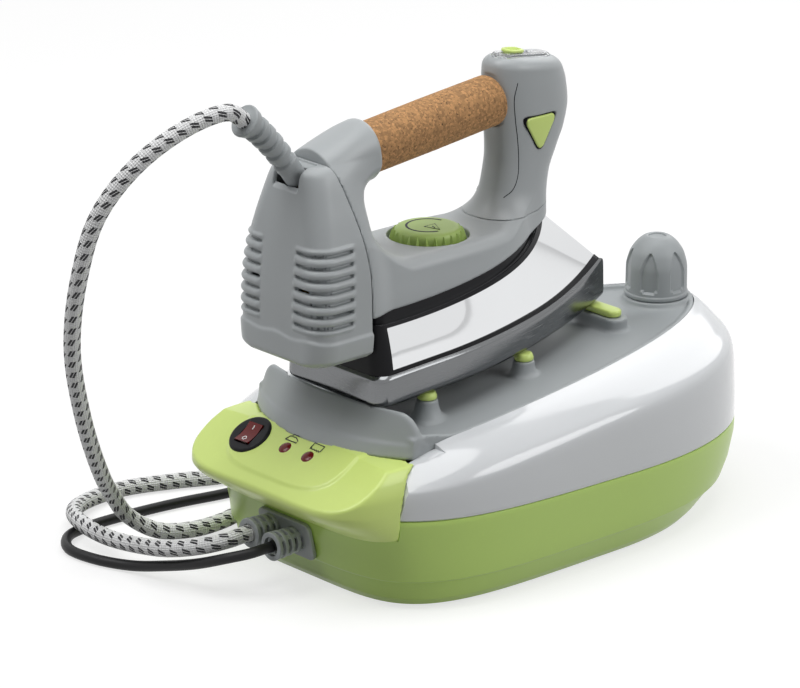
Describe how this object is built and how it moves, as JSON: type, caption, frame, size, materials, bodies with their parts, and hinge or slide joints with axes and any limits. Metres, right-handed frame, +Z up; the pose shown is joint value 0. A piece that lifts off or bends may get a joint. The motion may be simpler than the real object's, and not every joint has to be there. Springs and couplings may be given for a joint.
{
  "type": "steam generator iron",
  "caption": "Steam generator iron: boiler base with a control panel and filler cap, an iron with a cork grip parked on its tray, a braided steam hose and a mains cord.",
  "frame": {"origin": "bottom centre of the object without its cords, on the surface that the feet stand on", "axes": "+Z up; -Y is the side with the control panel; +X is the side of the base that shows its long flank with the iron's heel at the panel end"},
  "size_m": [0.3415, 0.5484, 0.3319],
  "materials": {
    "lime_plastic": "satin moulded lime green",
    "white_plastic": "glossy white moulding",
    "grey_plastic": "satin mid grey moulding",
    "pale_grey_plastic": "satin pale blue-grey moulding",
    "black_plastic": "satin black moulding",
    "red_plastic": "translucent red",
    "clear_plastic": "clear moulded lens",
    "rubber": "moulded rubber",
    "cork": "bare cork",
    "chrome": "mirror chrome",
    "aluminium": "satin cast aluminium",
    "steel": "plain steel",
    "brass": "plain brass",
    "braid": "woven textile braid",
    "cord_black": "soft black cable sheath"
  },
  "bodies": {
    "base": {"lower_shell": "lime_plastic", "upper_shell": "white_plastic", "top_tray": "grey_plastic", "control_panel": "lime_plastic", "foot_front_left": "rubber", "foot_front_right": "rubber", "foot_rear_left": "rubber", "foot_rear_right": "rubber", "foot_screw_front_left": "steel", "foot_screw_front_right": "steel", "foot_screw_rear_left": "steel", "foot_screw_rear_right": "steel", "rest_pad_front_left": "lime_plastic", "rest_pad_front_right": "lime_plastic", "rest_pad_mid_left": "lime_plastic", "rest_pad_mid_right": "lime_plastic", "rest_pad_tip": "lime_plastic", "switch_bezel": "black_plastic", "lamp_power": "red_plastic", "lamp_steam": "red_plastic", "gland_plate": "grey_plastic", "hose_gland": "grey_plastic", "cord_gland": "grey_plastic", "boiler_tank": "steel", "boiler_cradle": "steel", "boiler_heater": "steel", "boiler_thermostat": "black_plastic", "filler_neck": "brass", "solenoid_valve": "brass", "tank_pipe": "brass", "gland_pipe": "brass", "steam_hose": "braid", "mains_cord": "cord_black", "mains_coil": "cord_black", "mains_tie": "rubber", "mains_plug": "cord_black"},
    "iron": {"soleplate": "aluminium", "iron_heater": "steel", "chamber_cover": "steel", "chrome_skirt": "chrome", "heat_shield": "black_plastic", "iron_body": "pale_grey_plastic", "front_column": "pale_grey_plastic", "rear_cover": "pale_grey_plastic", "handle_core": "steel", "cork_grip": "cork", "iron_thermostat": "brass", "indicator_lens": "clear_plastic", "micro_switch": "black_plastic", "iron_strain_relief": "grey_plastic", "inlet_tube": "brass"},
    "switch_rocker": {"rocker_switch": "red_plastic"},
    "knob": {"thermostat_knob": "lime_plastic"},
    "slider": {"steam_slider": "lime_plastic"},
    "button_right": {"steam_button_right": "lime_plastic"},
    "button_left": {"steam_button_left": "lime_plastic"},
    "cap_seal": {"cap_gasket": "rubber"},
    "cap_thread": {"cap_insert": "brass"},
    "cap": {"cap_cover": "grey_plastic"}
  },
  "joints": [
    {"name": "iron_lift", "type": "slide", "parent": "base", "child": "iron", "axis": [0, 0, 1], "range_m": [0, 0.1], "deforming": ["steam_hose"]},
    {"name": "switch_rock", "type": "hinge", "parent": "base", "child": "switch_rocker", "pos_m": [-0.0385, -0.168, 0.0914], "axis": [0.9994, 0, 0.036], "range_deg": [-8, 8]},
    {"name": "cap_lift", "type": "slide", "parent": "base", "child": "cap_seal", "axis": [0, 0, 1], "range_m": [0, 0.06]},
    {"name": "cap_screw", "type": "slide", "parent": "cap_seal", "child": "cap_thread", "axis": [0, 0, 1], "range_m": [0, 0.009]},
    {"name": "cap_turn", "type": "hinge", "parent": "cap_thread", "child": "cap", "pos_m": [0, 0.165, 0.13], "axis": [0, 0, 1], "range_deg": [0, 1080]},
    {"name": "knob_turn", "type": "hinge", "parent": "iron", "child": "knob", "pos_m": [0, -0.048, 0.213], "axis": [0, 0, 1], "range_deg": [-150, 150]},
    {"name": "slider_slide", "type": "slide", "parent": "iron", "child": "slider", "axis": [0, 0.9902, -0.1395], "range_m": [0, 0.008]},
    {"name": "button_right_press", "type": "slide", "parent": "iron", "child": "button_right", "axis": [-1, 0, 0], "range_m": [0, 0.0025], "stiffness_N_per_m": 900, "springref_m": -0.0008},
    {"name": "button_left_press", "type": "slide", "parent": "iron", "child": "button_left", "axis": [1, 0, 0], "range_m": [0, 0.0025], "stiffness_N_per_m": 900, "springref_m": -0.0008}
  ],
  "couplings": [
    {"joint": "cap_turn", "follows": "cap_screw", "rad_per_m": 2094.4}
  ]
}
